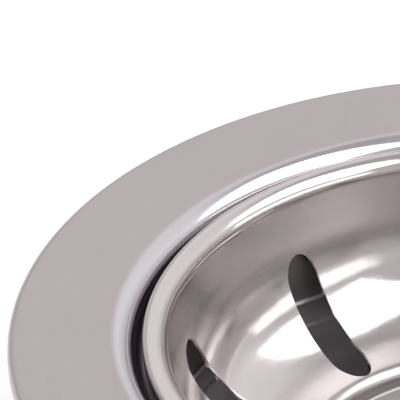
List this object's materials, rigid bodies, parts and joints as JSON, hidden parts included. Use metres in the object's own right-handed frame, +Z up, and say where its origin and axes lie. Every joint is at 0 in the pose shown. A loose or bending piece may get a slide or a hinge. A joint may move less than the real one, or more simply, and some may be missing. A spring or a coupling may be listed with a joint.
{
  "type": "sink basket strainer",
  "caption": "Round kitchen sink drain body with a wide flange and a lift-out slotted basket, rubber stopper, clamp ring nut and a threaded outlet with union nut.",
  "frame": {"origin": "on the drain's axis, in the plane of the sink deck under the flange", "axes": "+Z up along the drain's axis, towards the basket's mouth; +X along the keyway of the guide"},
  "size_m": [0.1142, 0.1142, 0.0659],
  "materials": {
    "body_steel": "satin stainless sheet, polished at the lip",
    "bowl_steel": "polished stainless sheet",
    "knob_steel": "turned and polished stainless",
    "small_steel": "plain stainless",
    "spud_brass": "turned brass",
    "cast_zinc": "die-cast zinc alloy, as cast",
    "plated_nut": "plated die-casting",
    "black_rubber": "moulded rubber",
    "foam_rubber": "foam rubber",
    "fibre_board": "hard fibre board",
    "white_nylon": "plain nylon"
  },
  "bodies": {
    "drain": {"strainer_body": "body_steel", "flange_seal": "foam_rubber", "outlet_spud": "spud_brass", "cross_guide": "small_steel"},
    "basket": {"basket_bowl": "bowl_steel"},
    "stem": {"lift_post": "small_steel", "upper_washer": "white_nylon", "lift_knob": "knob_steel", "lower_washer": "white_nylon", "stopper_cup": "small_steel", "stopper_seal": "black_rubber", "stopper_plate": "small_steel", "lock_washer": "small_steel", "post_nut": "small_steel", "catch_pin": "small_steel"},
    "clamp_rings": {"sink_gasket": "black_rubber", "friction_washer": "fibre_board"},
    "clamp_nut": {"locknut": "cast_zinc"},
    "tail_seal": {"slip_washer": "white_nylon"},
    "union": {"coupling_nut": "plated_nut"}
  },
  "joints": [
    {"name": "basket_lift", "type": "slide", "parent": "drain", "child": "basket", "axis": [0, 0, 1], "range_m": [0, 0.05]},
    {"name": "knob_turn", "type": "hinge", "parent": "basket", "child": "stem", "pos_m": [0, 0, -0.02], "axis": [0, 0, 1], "continuous": true},
    {"name": "clamp_travel", "type": "slide", "parent": "drain", "child": "clamp_rings", "axis": [0, 0, 1], "range_m": [-0.00551, 0.00491]},
    {"name": "locknut_turn", "type": "hinge", "parent": "clamp_rings", "child": "clamp_nut", "pos_m": [0, 0, -0.0128], "axis": [0, 0, 1], "range_deg": [-495, 441]},
    {"name": "tail_travel", "type": "slide", "parent": "drain", "child": "tail_seal", "axis": [0, 0, 1], "range_m": [-0.01101, 0]},
    {"name": "union_turn", "type": "hinge", "parent": "tail_seal", "child": "union", "pos_m": [0, 0, -0.05575], "axis": [0, 0, 1], "range_deg": [-1800, 0]}
  ],
  "couplings": [
    {"joint": "clamp_travel", "follows": "locknut_turn", "m_per_rad": 0.00063662},
    {"joint": "tail_travel", "follows": "union_turn", "m_per_rad": 0.00035014}
  ]
}
